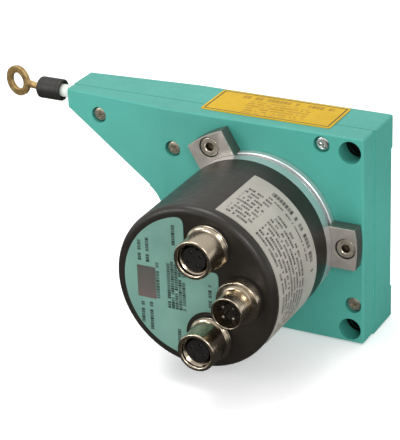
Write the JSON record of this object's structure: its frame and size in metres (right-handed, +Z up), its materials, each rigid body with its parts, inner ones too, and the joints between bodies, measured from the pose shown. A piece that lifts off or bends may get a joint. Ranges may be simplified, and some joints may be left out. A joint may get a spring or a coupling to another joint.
{
  "type": "draw wire encoder",
  "caption": "Flat case with a wedge nose holding a spring-returned wire drum, with a flange-clamped round encoder and threaded round connectors that read how far the ringed wire is drawn out.",
  "frame": {"origin": "where the drum axis meets the rear mounting plane", "axes": "+Y along the drum axis, out of the rear face towards the machine; +X to the right seen from the front, so the wire leaves along -X; +Z up the case"},
  "size_m": [0.1532, 0.0909, 0.0825],
  "materials": {
    "case_paint": "satin sea-green powder coat on a light-metal casting",
    "seal_rubber": "black seal rubber",
    "screw_steel": "zinc-plated steel",
    "nozzle_plastic": "white low-friction plastic",
    "wire_steel": "nylon-coated stainless strand",
    "sleeve_rubber": "black moulded rubber",
    "yellow_brass": "yellow passivated, slightly dull",
    "drum_aluminium": "turned",
    "shaft_steel": "ground",
    "spring_steel": "blued spring steel",
    "bearing_steel": "polished",
    "flange_aluminium": "turned, clear anodised",
    "disc_glass": "clear glass with a chrome track",
    "board_green": "green circuit board",
    "black_plastic": "black moulded plastic",
    "cover_paint": "satin dark brown-black paint",
    "silver_foil": "silver printed foil",
    "green_foil": "grey-green printed foil",
    "window_plastic": "smoked lens foil",
    "connector_nickel": "nickel-plated, warm",
    "contact_gold": "gold-plated",
    "clamp_steel": "warm grey, machined",
    "yellow_foil": "yellow printed foil"
  },
  "bodies": {
    "housing": {"rear_housing": "case_paint", "front_cover": "case_paint", "case_gasket": "seal_rubber", "case_screws": "screw_steel", "wire_nozzle": "nozzle_plastic", "wire_run": "wire_steel", "rear_bearing_outer": "bearing_steel", "front_bearing_outer": "bearing_steel", "power_spring": "spring_steel", "spring_liner": "nozzle_plastic", "encoder_flange": "flange_aluminium", "encoder_bearing_outer": "bearing_steel", "scan_head": "black_plastic", "main_board": "board_green", "interface_board": "board_green", "board_posts": "shaft_steel", "cover_seal": "seal_rubber", "encoder_cover": "cover_paint", "nameplate": "silver_foil", "end_label": "green_foil", "status_window": "window_plastic", "port_shells": "connector_nickel", "port_inserts": "black_plastic", "port_contacts": "contact_gold", "power_shell": "connector_nickel", "power_insert": "black_plastic", "power_pins": "contact_gold", "port_seals": "seal_rubber", "port_nuts": "connector_nickel", "servo_clamps": "clamp_steel", "clamp_screws": "screw_steel", "top_label": "yellow_foil"},
    "spool": {"measuring_drum": "drum_aluminium", "drum_shaft": "shaft_steel", "drum_clip": "spring_steel", "preload_washer": "spring_steel", "rear_bearing_inner": "bearing_steel", "front_bearing_inner": "bearing_steel", "wire_winding": "wire_steel", "wire_anchor": "screw_steel", "spring_post": "shaft_steel", "encoder_shaft": "shaft_steel", "encoder_bearing_inner": "bearing_steel", "disc_hub": "drum_aluminium", "code_disc": "disc_glass"},
    "wire_end": {"stopper_sleeve": "sleeve_rubber", "crimp_ferrule": "yellow_brass", "ring_eyelet": "yellow_brass"},
    "drum_balls": {"drum_bearing_balls": "bearing_steel"},
    "encoder_balls": {"encoder_bearing_balls": "bearing_steel"}
  },
  "joints": [
    {"name": "drum_spin", "type": "hinge", "parent": "housing", "child": "spool", "pos_m": [0, 0, 0], "axis": [0, -1, 0], "range_deg": [0, 3130.9], "stiffness_Nm_per_rad": 0.003, "springref_deg": -4583.66, "deforming": ["power_spring"]},
    {"name": "wire_pull", "type": "slide", "parent": "housing", "child": "wire_end", "axis": [-1, 0, 0], "range_m": [0, 2.001], "deforming": ["wire_run"]},
    {"name": "drum_balls_spin", "type": "hinge", "parent": "housing", "child": "drum_balls", "pos_m": [0, 0, 0], "axis": [0, -1, 0], "range_deg": [0, 1285]},
    {"name": "encoder_balls_spin", "type": "hinge", "parent": "housing", "child": "encoder_balls", "pos_m": [0, 0, 0], "axis": [0, -1, 0], "range_deg": [0, 1225]}
  ],
  "couplings": [
    {"joint": "wire_pull", "follows": "drum_spin", "m_per_rad": 0.0366},
    {"joint": "drum_balls_spin", "follows": "drum_spin", "ratio": 0.40909},
    {"joint": "encoder_balls_spin", "follows": "drum_spin", "ratio": 0.38947}
  ]
}
